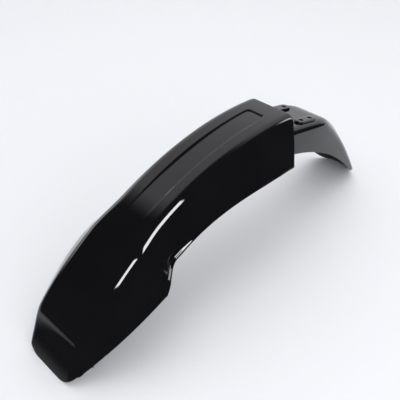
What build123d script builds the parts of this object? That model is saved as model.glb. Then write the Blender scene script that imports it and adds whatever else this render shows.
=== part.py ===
"""Front mudguard of an off-road motorcycle, moulded in one piece from gloss plastic.

It lies as it rests on a table: nose and rear flap on the floor, X forward, Y to its left, Z up,
with the origin on the floor under the middle of its length. Lengths are in mm, angles in degrees.

The blade and the tail are each drawn as sections in planes through a level axis below the floor:
across on Y, and out from the axis. Their angles are measured about the axis, from straight up
towards the nose. A tilt or a draft leans outwards from straight down.
"""

import os
from math import asin, atan2, cos, degrees, exp, hypot, log, radians, sin, sqrt, tan

from build123d import *

# Wall of the moulding
WALL = 3.0

# Blade: the long arch over the tyre
BLADE_AXIS_X = -60.4
BLADE_AXIS_Z = -317.0
BLADE_RADIUS = 565.0
BLADE_HALF_WIDTH = 47.0
BLADE_REAR_ANGLE = -5.1
BLADE_STATION = 2.3
REAR_LEAN = -11.7
REAR_ALLOWANCE = 8.0
CREASE_SETBACK = 7.0

# Skirts: the sides of the blade lean outwards, a little steeper below a knee
SKIRT_KNEE_DEPTH = 52.0
SKIRT_UPPER_TILT = 19.0
SKIRT_LOWER_TILT = 15.0
SKIRT_DEPTH_REAR = 84.0
SKIRT_DEPTH_FRONT = 62.5
SKIRT_RISE_START = 0.0
SKIRT_RISE_END = 26.0
SKIRT_FORM_END = 16.0
SKIRT_STATION = 2.6
SKIRT_OVERLAP = 1.5
KNEE_SETBACK = 8.0

# Lip: the foot of the skirt turns out towards the lobe
LIP_WIDTH = 8.0
LIP_LEAST_TURN = 0.5
LIP_TILT = 62.0
LIP_START = 18.0
LIP_FULL = 27.0
LIP_FADE = 28.0
LIP_SETBACK = 3.2

# Front lobes: the skirt swings out and up into a wing beside the nose
LOBE_LIFT_START = 24.5
LOBE_SWING_START = 27.9
LOBE_SWING_END = 34.2
LOBE_KNEE_LIFT_START = 22.5
LOBE_KNEE_SWING_START = 26.0
LOBE_KNEE_END = 32.2
LOBE_HALF_WIDTH = 99.5
LOBE_EDGE_RADIUS = 515.5
LOBE_EDGE_RISE = 1.29
LOBE_WIDEST_ANGLE = 32.3
LOBE_KNEE_SHARE = 0.5
LOBE_BULGE_SHARE = 0.02
LOBE_LIP_TURN = 2.0
LOBE_TRIM_ALLOWANCE = 10.0
LOBE_TRIM_TILT = 45.0
LOBE_TRIM_START = 33.2
LOBE_TRIM_FULL = 35.2

# Nose: the flat face that turns down to the front edge
NOSE_SLOPE = 68.0
NOSE_BREAK_ANGLE = 47.0
NOSE_BREAK_SOFTNESS = 1.8
NOSE_END_ANGLE = 57.5
NOSE_HALF_WIDTH = 50.0
NOSE_EDGE_HALF_WIDTH = 46.2
NOSE_WIDEN_START = 24.0
NOSE_CORNER_RADIUS = 34.0
NOSE_TRIM_ANGLE = 45.0

# Sunken panel along the blade's top
PANEL_HALF_WIDTH = 20.0
PANEL_DEPTH = 2.6
PANEL_FADE_DEPTH = 0.2
PANEL_FADE_START = 0.45
PANEL_REAR_ANGLE = -1.4
PANEL_FRONT_ANGLE = 28.5
PANEL_CORNER_RADIUS = 9.0
PANEL_STATIONS = (0, 0.25, 0.5, 0.75, 1)

# Bolting plate behind the step, and the flap that bends down from it
STEP_DROP = 34.2
PLATE_SLOPE = 12.9
PLATE_LENGTH = 111.0
PLATE_CROWN = 5.5
PLATE_SHOULDER_HALF = 40.0
PLATE_DRAFT = 4.8
BEND_SOFTNESS = 5.0
FLAP_SLOPE = 40.4
FLAP_RADIUS = 544.0
FLAP_CROWN = 19.0
FLAP_SHOULDER_HALF = 20.0
FLAP_DRAFT = 10.0
FLAP_LEAST_WALL = 7.0
FLAP_CORNER_RADIUS = 32.0
FLAP_FORM_START = -23.0
FLAP_FORM_END = -38.0
TAIL_SETBACK = 9.0

# Lower edge of the plate and flap: an arc about its own axis
TAIL_AXIS_X = 21.6
TAIL_AXIS_Z = -286.0
TAIL_EDGE_RADIUS = 474.5
TAIL_EDGE_HALF = 52.6
TAIL_FRONT_ANGLE = -13.0
TAIL_END_ANGLE = -57.0
TAIL_STATION = 2.75

# Bolt pads on the plate
PAD_LENGTH = 54.0
PAD_WIDTH = 18.0
PAD_RISE = 3.5
PAD_SPACING = 58.0
PAD_SETBACK = 65.0
BOLT_SPACING = 26.0
BOLT_HOLE_RADIUS = 4.25

# How closely the shared section of the blade's rear and front has to fit
WELD_TOLERANCE = 0.001

# Most of a side that the rounding of a corner may take up
ROUND_SHARE = 0.45


def ramp(value, start, end):
    """Ease from 0 at start to 1 at end."""
    share = min(max((value - start) / (end - start), 0.0), 1.0)
    return share * share * (3 - 2 * share)


def mix(first, second, share):
    """The value a share of the way from first to second."""
    return first + (second - first) * share


def soft_least(first, second, softness):
    """The lesser of two values, eased where they are nearly equal."""
    return min(first, second) - softness * log(1 + exp(-abs(first - second) / softness))


def stations(start, end, step):
    """Angles from start to end, evenly spaced and about a step apart."""
    count = round(abs(end - start) / step)
    return [mix(start, end, index / count) for index in range(count + 1)]


def tilt_between(upper, lower):
    """Tilt of the line from an upper point to a lower one."""
    return degrees(atan2(lower[0] - upper[0], upper[1] - lower[1]))


def step_from(point, tilt, length):
    """The point a length away, down a tilt."""
    return (point[0] + length * sin(radians(tilt)), point[1] - length * cos(radians(tilt)))


def inset(points, distance):
    """A path moved to its right by a distance, with mitred corners."""
    normals = []
    for (x0, y0), (x1, y1) in zip(points, points[1:]):
        run = hypot(x1 - x0, y1 - y0)
        normals.append(((y1 - y0) / run, (x0 - x1) / run))
    moved = []
    for (x, y), before, after in zip(points, normals[:1] + normals, normals + normals[-1:]):
        scale = distance / (1 + before[0] * after[0] + before[1] * after[1])
        moved.append((x + scale * (before[0] + after[0]), y + scale * (before[1] + after[1])))
    return moved


def wall_section(plane, half, setbacks, bevelled):
    """The wall's closed section on a plane, from the points of its right half, crest first.

    A setback is given for each point but the last: how far its rounding reaches along its sides.
    Inside the wall one of these corners is bevelled, and the others stay sharp.
    """
    outer = [(-x, y) for x, y in reversed(half)] + half
    inner = inset(outer, WALL)
    radii = []
    inside = []
    for index, setback in enumerate(setbacks[::-1] + setbacks):
        before, corner, after = outer[index : index + 3]
        came = (corner[0] - before[0], corner[1] - before[1])
        goes = (after[0] - corner[0], after[1] - corner[1])
        turn = atan2(came[0] * goes[1] - came[1] * goes[0], came[0] * goes[0] + came[1] * goes[1])
        reach = min(setback, ROUND_SHARE * hypot(*came), ROUND_SHARE * hypot(*goes))
        radii.append(reach / tan(abs(turn) / 2))
        x, y = inner[index + 1]
        if index in (len(setbacks) - 1 - bevelled, len(setbacks) + bevelled):
            start = reach / hypot(*came) + WALL * tan(turn / 2) / hypot(*came)
            end = reach / hypot(*goes) + WALL * tan(turn / 2) / hypot(*goes)
            inside.append((x - came[0] * start, y - came[1] * start))
            inside.append((x + goes[0] * end, y + goes[1] * end))
        else:
            inside.append((x, y))
    with BuildSketch(plane) as section:
        with BuildLine():
            FilletPolyline(*outer, radius=radii)
            Polyline(outer[-1], inner[-1], *reversed(inside), inner[0], outer[0])
        make_face()
    return section.sketch


def radial(angle):
    """The direction in X and Z at an angle from straight up."""
    return (sin(radians(angle)), cos(radians(angle)))


def blade_point(angle, reach):
    """The place in X and Z at an angle about the blade's axis, a reach away from it."""
    out = radial(angle)
    return (BLADE_AXIS_X + reach * out[0], BLADE_AXIS_Z + reach * out[1])


def section_plane(axis, angle):
    """The plane through a level axis at an angle, with Y across and out from the axis up."""
    out = radial(angle)
    return Plane(origin=(axis[0], 0, axis[1]), x_dir=(0, 1, 0), z_dir=(out[1], 0, -out[0]))


def blade_crest(angle):
    """Distance of the blade's top from its axis: an arc that breaks into the flat nose."""
    nose = NOSE_FACE / cos(radians(NOSE_SLOPE - angle))
    return soft_least(BLADE_RADIUS, nose, NOSE_BREAK_SOFTNESS)


def skirt_half_width(depth):
    """Half width of the rear skirts at a depth below the blade's top."""
    upper = min(depth, SKIRT_KNEE_DEPTH) * tan(radians(SKIRT_UPPER_TILT))
    lower = max(depth - SKIRT_KNEE_DEPTH, 0) * tan(radians(SKIRT_LOWER_TILT))
    return BLADE_HALF_WIDTH + upper + lower


def skirt_depth(angle):
    """Depth of the skirts, which rises towards the lobes."""
    return mix(SKIRT_DEPTH_REAR, SKIRT_DEPTH_FRONT, ramp(angle, SKIRT_RISE_START, SKIRT_RISE_END))


def lobe_half_width(angle, radius):
    """Half width of the lobes' outline at an angle, at a distance from the blade's axis."""
    along = radius * sin(radians(angle - NOSE_TRIM_ANGLE)) - LOBE_REAR
    return LOBE_HALF_WIDTH - LOBE_OUTLINE_RADIUS + sqrt(LOBE_OUTLINE_RADIUS**2 - max(along, 0) ** 2)


def blade_half(angle):
    """Points of the blade's right half at an angle: crease, knee, lip root and edge."""
    crest = blade_crest(angle)
    widen = ramp(angle, NOSE_WIDEN_START, NOSE_BREAK_ANGLE)
    crease = (mix(BLADE_HALF_WIDTH, NOSE_HALF_WIDTH, widen), crest)

    # The skirt by itself, and the lobe with an allowance for its outline to be cut
    overlap_end = SKIRT_FORM_END + 2 * SKIRT_STATION
    depth = skirt_depth(angle) + mix(SKIRT_OVERLAP, 0, ramp(angle, SKIRT_FORM_END, overlap_end))
    skirt_knee = (skirt_half_width(SKIRT_KNEE_DEPTH), BLADE_RADIUS - SKIRT_KNEE_DEPTH)
    skirt_edge = (skirt_half_width(depth), BLADE_RADIUS - depth)
    lobe_radius = min(LOBE_EDGE_RADIUS + LOBE_EDGE_RISE * (angle - LOBE_SWING_END), crest)
    lobe_edge = (max(lobe_half_width(angle, lobe_radius), crease[0]), lobe_radius)
    allowance = LOBE_TRIM_ALLOWANCE * ramp(angle, LOBE_TRIM_START, LOBE_TRIM_FULL)
    lobe_edge = step_from(lobe_edge, LOBE_TRIM_TILT, allowance)

    # One swings into the other
    out = ramp(angle, LOBE_SWING_START, LOBE_SWING_END)
    up = ramp(angle, LOBE_LIFT_START, LOBE_SWING_END)
    edge = (mix(skirt_edge[0], lobe_edge[0], out), mix(skirt_edge[1], lobe_edge[1], up))

    # The lobe's knee bulges a little from the middle of the line between its crease and its edge
    run = (lobe_edge[0] - crease[0], crease[1] - lobe_edge[1])
    lobe_knee = (
        mix(crease[0], lobe_edge[0], LOBE_KNEE_SHARE) + LOBE_BULGE_SHARE * run[1],
        mix(crease[1], lobe_edge[1], LOBE_KNEE_SHARE) + LOBE_BULGE_SHARE * run[0],
    )
    knee_out = ramp(angle, LOBE_KNEE_SWING_START, LOBE_KNEE_END)
    knee_up = ramp(angle, LOBE_KNEE_LIFT_START, LOBE_KNEE_END)
    knee = (mix(skirt_knee[0], lobe_knee[0], knee_out), mix(skirt_knee[1], lobe_knee[1], knee_up))

    # The lip turns out from the foot of the skirt, and lies down into the lobe
    foot_tilt = tilt_between(knee, edge)
    lip_tilt = mix(foot_tilt + LIP_LEAST_TURN, LIP_TILT, ramp(angle, LIP_START, LIP_FULL))
    lip_tilt = mix(lip_tilt, foot_tilt + LOBE_LIP_TURN, ramp(angle, LIP_FADE, LOBE_SWING_END))
    lip_width = min(LIP_WIDTH, ROUND_SHARE * hypot(edge[0] - knee[0], edge[1] - knee[1]))
    return [crease, knee, step_from(edge, lip_tilt, -lip_width), edge]


def tail_crest(angle):
    """Distance of the plate's or flap's crease from the tail's axis, with the bend between them."""
    out = radial(angle)
    plate = PLATE_FACE / cos(radians(angle + PLATE_SLOPE))
    reach = FLAP_CENTRE[0] * out[0] + FLAP_CENTRE[1] * out[1]
    flap = reach + sqrt(reach * reach + FLAP_RADIUS**2 - FLAP_CENTRE[0] ** 2 - FLAP_CENTRE[1] ** 2)
    return soft_least(plate, flap, BEND_SOFTNESS)


def tail_half(angle):
    """Points of the tail's right half at an angle: shoulder, crease and lower edge."""
    form = ramp(angle, FLAP_FORM_START, FLAP_FORM_END)
    crest = tail_crest(angle)
    draft = mix(PLATE_DRAFT, FLAP_DRAFT, form)
    height = max(crest - TAIL_EDGE_RADIUS, FLAP_LEAST_WALL)
    edge = (TAIL_EDGE_HALF, crest - height)
    crease = (TAIL_EDGE_HALF - height * tan(radians(draft)), crest)
    shoulder_half = mix(PLATE_SHOULDER_HALF, FLAP_SHOULDER_HALF, form)
    return [(shoulder_half, crest + mix(PLATE_CROWN, FLAP_CROWN, form)), crease, edge]


def panel_section(share, skin):
    """Section of the sunken panel a share of the way to its front end.

    With a skin it is the bulge under the blade's top, and without one the space above its floor.
    """
    depth = mix(PANEL_DEPTH, PANEL_FADE_DEPTH, ramp(share, PANEL_FADE_START, 1)) + skin
    top = -skin / 2 if skin else PANEL_DEPTH
    angle = mix(PANEL_REAR_ANGLE - degrees(WALL / BLADE_RADIUS), PANEL_FRONT_ANGLE, share)
    with BuildSketch(section_plane(BLADE_AXIS, angle)) as section:
        with Locations((0, BLADE_RADIUS - depth)):
            Rectangle(2 * (PANEL_HALF_WIDTH + WALL), top + depth, align=(Align.CENTER, Align.MIN))
    return section.sketch


# Places that follow from the sizes
BLADE_AXIS = (BLADE_AXIS_X, BLADE_AXIS_Z)
TAIL_AXIS = (TAIL_AXIS_X, TAIL_AXIS_Z)
REAR_X, REAR_Z = blade_point(BLADE_REAR_ANGLE, BLADE_RADIUS)
rear_lean = radial(REAR_LEAN)
rear_plane = Plane(origin=(REAR_X, 0, REAR_Z), x_dir=(0, 1, 0), z_dir=(rear_lean[1], 0, -rear_lean[0]))

# The nose's face meets the floor at its front edge, which the lobes' outline runs into
NOSE_FACE = BLADE_RADIUS * cos(radians(NOSE_SLOPE - NOSE_BREAK_ANGLE))
NOSE_REACH = (NOSE_FACE + BLADE_AXIS_Z * cos(radians(NOSE_SLOPE))) / sin(radians(NOSE_SLOPE))
trim_out = radial(NOSE_TRIM_ANGLE)
NOSE_FRONT = NOSE_REACH * trim_out[1] + BLADE_AXIS_Z * trim_out[0]
LOBE_REAR = BLADE_RADIUS * sin(radians(LOBE_WIDEST_ANGLE - NOSE_TRIM_ANGLE))
LOBE_RUN = NOSE_FRONT - LOBE_REAR
LOBE_NARROWING = LOBE_HALF_WIDTH - NOSE_EDGE_HALF_WIDTH
LOBE_OUTLINE_RADIUS = (LOBE_RUN**2 + LOBE_NARROWING**2) / (2 * LOBE_NARROWING)

PLATE_RUN = Vector(-cos(radians(PLATE_SLOPE)), 0, -sin(radians(PLATE_SLOPE)))
PLATE_UP = Vector(-sin(radians(PLATE_SLOPE)), 0, cos(radians(PLATE_SLOPE)))
PLATE_START = Vector(REAR_X, 0, REAR_Z - STEP_DROP)
PLATE_FACE = (PLATE_START - Vector(TAIL_AXIS_X, 0, TAIL_AXIS_Z)).dot(PLATE_UP)
bend_corner = PLATE_START + PLATE_LENGTH * PLATE_RUN
flap_in = (sin(radians(FLAP_SLOPE)), -cos(radians(FLAP_SLOPE)))
FLAP_CENTRE = (
    bend_corner.X + FLAP_RADIUS * flap_in[0] - TAIL_AXIS_X,
    bend_corner.Z + FLAP_RADIUS * flap_in[1] - TAIL_AXIS_Z,
)
pad_centre = PLATE_START + PAD_SETBACK * PLATE_RUN + PLATE_CROWN * PLATE_UP
pad_plane = Plane(origin=pad_centre, x_dir=(0, 1, 0), z_dir=PLATE_UP)

# Rear of the blade: its section turned about the axis, deeper than the skirts, and cut along their edge
blade_setbacks = [CREASE_SETBACK, KNEE_SETBACK, LIP_SETBACK]
rear_end = BLADE_REAR_ANGLE - REAR_ALLOWANCE
with BuildPart() as rear_blade:
    deep_half = blade_half(SKIRT_FORM_END)
    deep_half[-1] = step_from(deep_half[-1], tilt_between(*deep_half[-2:]), SKIRT_DEPTH_REAR)
    revolve(
        wall_section(section_plane(BLADE_AXIS, SKIRT_FORM_END), deep_half, blade_setbacks, 0),
        Axis((BLADE_AXIS_X, 0, BLADE_AXIS_Z), (0, -1, 0)),
        revolution_arc=SKIRT_FORM_END - rear_end,
    )

# Front of the blade: skirts, lobes and nose in one loft of the wall's section
with BuildPart() as front_blade:
    sections = []
    for angle in stations(SKIRT_FORM_END, NOSE_END_ANGLE, BLADE_STATION):
        plane = section_plane(BLADE_AXIS, angle)
        sections.append(wall_section(plane, blade_half(angle), blade_setbacks, 0))
    loft(sections)

# The two share one section, and are welded there
blade = rear_blade.part.fuse(front_blade.part, tol=WELD_TOLERANCE)

# What is cut from under the skirts along their lower edge, which the lofted front then takes up
with BuildPart() as skirt_trim:
    with BuildSketch(Plane.XZ):
        with BuildLine():
            edge_points = []
            for angle in stations(rear_end, SKIRT_FORM_END, SKIRT_STATION):
                edge_points.append(blade_point(angle, BLADE_RADIUS - skirt_depth(angle)))
            last_angle = SKIRT_FORM_END + SKIRT_STATION
            last_depth = skirt_depth(last_angle) + SKIRT_OVERLAP
            edge_points.append(blade_point(last_angle, BLADE_RADIUS - last_depth))
            Spline(*edge_points)
            Polyline(edge_points[-1], BLADE_AXIS, edge_points[0])
        make_face()
    extrude(amount=BLADE_RADIUS, both=True)

# Outline of the lobes and the nose's rounded corners, seen square to the front of the blade
trim_plane = Plane(
    origin=(BLADE_AXIS_X, 0, BLADE_AXIS_Z),
    x_dir=(trim_out[1], 0, -trim_out[0]),
    z_dir=(trim_out[0], 0, trim_out[1]),
)
with BuildPart() as lobe_trim:
    with BuildSketch(trim_plane) as lobe_outline:
        with BuildLine():
            lobe_turn = degrees(asin(LOBE_RUN / LOBE_OUTLINE_RADIUS))
            lobe = JernArc((LOBE_REAR, LOBE_HALF_WIDTH), (1, 0), LOBE_OUTLINE_RADIUS, -lobe_turn)
            Polyline(
                lobe @ 1,
                (NOSE_FRONT, 0),
                (-BLADE_RADIUS, 0),
                (-BLADE_RADIUS, LOBE_HALF_WIDTH),
                lobe @ 0,
            )
        make_face()
        fillet(lobe_outline.vertices().group_by(Axis.X)[-1].sort_by(Axis.Y)[-1], NOSE_CORNER_RADIUS)
        mirror(about=Plane.XZ)
    extrude(amount=2 * BLADE_RADIUS)

# Plate, bend and flap in one loft of the wall's section, up to the front of the bulkhead
with BuildPart() as tail:
    sections = []
    for angle in stations(TAIL_FRONT_ANGLE, TAIL_END_ANGLE, TAIL_STATION):
        plane = section_plane(TAIL_AXIS, angle)
        sections.append(wall_section(plane, tail_half(angle), [0, TAIL_SETBACK], 1))
    loft(sections)
    with BuildSketch(Plane.YZ) as flap_outline:
        Rectangle(2 * TAIL_EDGE_HALF, TAIL_EDGE_RADIUS, align=(Align.CENTER, Align.MIN))
        fillet(flap_outline.vertices().group_by(Axis.Y)[0], FLAP_CORNER_RADIUS)
    extrude(amount=-TAIL_EDGE_RADIUS, mode=Mode.INTERSECT)
    split(bisect_by=rear_plane.offset(WALL), keep=Keep.BOTTOM)

# Sunken panel: the hollow in the top, and the skin that follows it underneath
with BuildPart() as panel_hollow:
    loft([panel_section(share, 0) for share in PANEL_STATIONS])
    with BuildSketch() as panel_outline:
        with Locations((blade_point(PANEL_REAR_ANGLE, BLADE_RADIUS)[0], 0)):
            Rectangle(BLADE_RADIUS, 2 * PANEL_HALF_WIDTH, align=(Align.MIN, Align.CENTER))
        fillet(panel_outline.vertices().group_by(Axis.X)[0], PANEL_CORNER_RADIUS)
    extrude(amount=BLADE_RADIUS, mode=Mode.INTERSECT)
with BuildPart() as panel_skin:
    loft([panel_section(share, WALL) for share in PANEL_STATIONS])

with BuildPart() as mudguard:
    add(blade)
    add(skirt_trim, mode=Mode.SUBTRACT)
    add(lobe_trim, mode=Mode.INTERSECT)
    split(bisect_by=rear_plane, keep=Keep.TOP)
    add(tail)

    # Bulkhead that closes the step between the blade's top and the plate
    with BuildSketch(rear_plane) as bulkhead:
        top_half = BLADE_HALF_WIDTH - WALL / 2
        low_half = skirt_half_width(STEP_DROP) - WALL / 2
        low = -STEP_DROP - WALL
        Polygon((top_half, -WALL / 2), (low_half, low), (-low_half, low), (-top_half, -WALL / 2), align=None)
        fillet(bulkhead.vertices().group_by(Axis.Y)[-1], CREASE_SETBACK)
    extrude(amount=WALL)

    # Bolt pads stand on the plate's flat, square to it
    with BuildSketch(pad_plane.offset(-WALL / 2)):
        with GridLocations(PAD_SPACING, 0, 2, 1):
            SlotOverall(PAD_LENGTH, PAD_WIDTH, rotation=90)
    extrude(amount=PAD_RISE + WALL / 2)

    add(panel_skin)
    add(panel_hollow, mode=Mode.SUBTRACT)

    with Locations(pad_plane.offset(PAD_RISE)):
        with GridLocations(PAD_SPACING, BOLT_SPACING, 2, 2):
            Hole(BOLT_HOLE_RADIUS, depth=PAD_RISE + 2 * WALL)

    # Nose and flap are cut level where they stand on the floor
    split(bisect_by=Plane.XY, keep=Keep.TOP)

os.makedirs("parts", exist_ok=True)
mudguard.part.label = "front_mudguard"
export_step(mudguard.part, "parts/front_mudguard.step")
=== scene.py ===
"""Studio scene of a gloss black front mudguard for an off-road motorcycle.

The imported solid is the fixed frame. A finer skin of the same form stands for it: the blade and the
tail are sheets laid on the solid's own arcs, thickened to the moulding's wall and rounded along their
rims, with the bulkhead and the bolt pads between them. Sizes of the form are in millimetres and
degrees. Meshes, lamps and the camera are in metres.
"""

import logging
import math
from dataclasses import dataclass
from enum import Enum
from typing import Any, Callable, List, Mapping, Optional, Sequence, Tuple, Union

import bpy
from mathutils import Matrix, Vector


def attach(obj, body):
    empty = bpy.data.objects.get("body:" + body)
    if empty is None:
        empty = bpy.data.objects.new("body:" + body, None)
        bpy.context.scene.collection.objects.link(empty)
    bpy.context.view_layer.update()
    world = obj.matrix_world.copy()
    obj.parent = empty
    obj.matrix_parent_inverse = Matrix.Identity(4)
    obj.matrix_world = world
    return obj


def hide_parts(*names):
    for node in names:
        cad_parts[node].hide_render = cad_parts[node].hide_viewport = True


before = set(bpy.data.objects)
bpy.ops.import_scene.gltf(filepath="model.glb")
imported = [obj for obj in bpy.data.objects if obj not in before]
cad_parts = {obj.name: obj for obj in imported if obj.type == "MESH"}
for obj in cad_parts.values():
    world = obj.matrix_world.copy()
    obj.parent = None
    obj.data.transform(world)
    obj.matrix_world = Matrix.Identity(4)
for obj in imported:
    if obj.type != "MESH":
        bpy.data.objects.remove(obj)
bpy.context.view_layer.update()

log = logging.getLogger("mudguard")

MM = 0.001
NODE = "front_mudguard"
BODY = "root"

# Turns in radians, and lengths in metres, that count as none
LEAST = 1e-6

# Sums, and lengths along a path, that count as none
TINY = 1e-9

# Rounds of halving, enough for the last digit of an angle or a length
HALVINGS = 40

# Most of a side that the rounding of a corner may take up
ROUND_SHARE = 0.45

Point = Tuple[float, float]
Band = Tuple[float, float]
Place = Tuple[float, float, float]
Colour = Tuple[float, float, float, float]
EdgeTest = Callable[[Vector, Vector], bool]


def ramp(value: float, start: float, end: float) -> float:
    """Ease from 0 at start to 1 at end."""
    share = min(max((value - start) / (end - start), 0.0), 1.0)
    return share * share * (3 - 2 * share)


def mix(first: float, second: float, share: float) -> float:
    """The value a share of the way from first to second."""
    return first + (second - first) * share


def soft_least(first: float, second: float, softness: float) -> float:
    """The lesser of two values, eased where they are nearly equal."""
    return min(first, second) - softness * math.log(1 + math.exp(-abs(first - second) / softness))


def sin_deg(angle: float) -> float:
    """Sine of an angle in degrees."""
    return math.sin(math.radians(angle))


def cos_deg(angle: float) -> float:
    """Cosine of an angle in degrees."""
    return math.cos(math.radians(angle))


def direction(azimuth: float, elevation: float) -> Vector:
    """The direction at an azimuth and an elevation."""
    level = cos_deg(elevation)
    return Vector((cos_deg(azimuth) * level, sin_deg(azimuth) * level, sin_deg(elevation)))


def spread(start: float, end: float, count: int) -> List[float]:
    """Values spread evenly from start to end, without the start."""
    return [mix(start, end, (index + 1) / count) for index in range(count)]


def step_from(point: Point, tilt: float, length: float) -> Point:
    """The point a length away, down a tilt that leans outwards from straight down."""
    return (point[0] + length * sin_deg(tilt), point[1] - length * cos_deg(tilt))


def both_halves(left: Sequence[Vector]) -> List[Vector]:
    """A row of points from the left edge to the right one, from its left half with the middle first."""
    right = [Vector((point.x, -point.y, point.z)) for point in left[1:]]
    return list(left[::-1]) + right


def solve(crossed: Callable[[float], bool], inside: float, outside: float) -> float:
    """Find by halving where a test turns true.

    Args:
        crossed: The test, false at the inside value and true at the outside one.
        inside: A value before the crossing.
        outside: A value past it.

    Returns:
        The value at the crossing.
    """
    for _ in range(HALVINGS):
        middle = (inside + outside) / 2
        if crossed(middle):
            outside = middle
        else:
            inside = middle
    return inside


@dataclass(frozen=True)
class Bend:
    """One corner of a section: how far its rounding reaches, and how finely it is divided."""

    reach: float
    arc_count: int
    leg_count: int


def rounded_path(corners: Sequence[Point], bends: Sequence[Bend], lead: Sequence[float]) -> List[Point]:
    """Points of a section's half, from its middle to its edge, with rounded corners.

    Args:
        corners: The corners from the crest outwards, with the edge last.
        bends: The rounding at each corner but the last, and the points on the leg after it.
        lead: Distances from the middle, as shares of the way to the first rounding.

    Returns:
        The points, middle first.
    """
    points: List[Point] = []
    start: Point = (0.0, corners[0][1])
    for index, bend in enumerate(bends):
        corner = Vector(corners[index])
        before = Vector(corners[index - 1]) if index else Vector(start)
        came = corner - before
        goes = Vector(corners[index + 1]) - corner
        reach = min(bend.reach, ROUND_SHARE * came.length, ROUND_SHARE * goes.length)
        came.normalize()
        goes.normalize()
        turn = math.atan2(came.x * goes.y - came.y * goes.x, came.dot(goes))
        arc_start = corner - reach * came
        shares = lead if index == 0 else spread(0, 1, bends[index - 1].leg_count)
        for share in shares:
            points.append((mix(start[0], arc_start.x, share), mix(start[1], arc_start.y, share)))
        radius = reach / math.tan(max(abs(turn), LEAST) / 2)
        side = math.copysign(1.0, turn)
        centre = arc_start + radius * side * Vector((-came.y, came.x))
        spoke = arc_start - centre
        for angle in spread(0, turn, bend.arc_count):
            turned = Vector(
                (
                    spoke.x * math.cos(angle) - spoke.y * math.sin(angle),
                    spoke.x * math.sin(angle) + spoke.y * math.cos(angle),
                )
            )
            points.append(tuple(centre + turned))
        start = points[-1]
    for share in spread(0, 1, bends[-1].leg_count):
        points.append((mix(start[0], corners[-1][0], share), mix(start[1], corners[-1][1], share)))
    return points


def shortened(points: Sequence[Point], first: int, outside: Callable[[Point], bool]) -> List[Point]:
    """Pull the end of a path back to where it leaves an outline.

    Args:
        points: The path, of which the points after the first index may move.
        first: Index of the last point that stays.
        outside: Whether a point is past the outline.

    Returns:
        The path with as many points, ending on the outline.
    """
    tail = [Vector(point) for point in points[first:]]
    lengths = [0.0]
    for before, after in zip(tail, tail[1:]):
        lengths.append(lengths[-1] + (after - before).length)

    def at(length: float) -> Point:
        """Find a point of the tail.

        Args:
            length: Its distance along the tail from the tail's start.

        Returns:
            The point.
        """
        for index in range(1, len(tail)):
            if length <= lengths[index] or index == len(tail) - 1:
                span = max(lengths[index] - lengths[index - 1], TINY)
                share = min(max((length - lengths[index - 1]) / span, 0.0), 1.0)
                return tuple(tail[index - 1].lerp(tail[index], share))
        return tuple(tail[-1])

    if not outside(tuple(tail[-1])):
        return list(points)
    end = solve(lambda length: outside(at(length)), 0.0, lengths[-1])
    moved = [at(length * end / lengths[-1]) for length in lengths]
    return list(points[:first]) + moved


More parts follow.
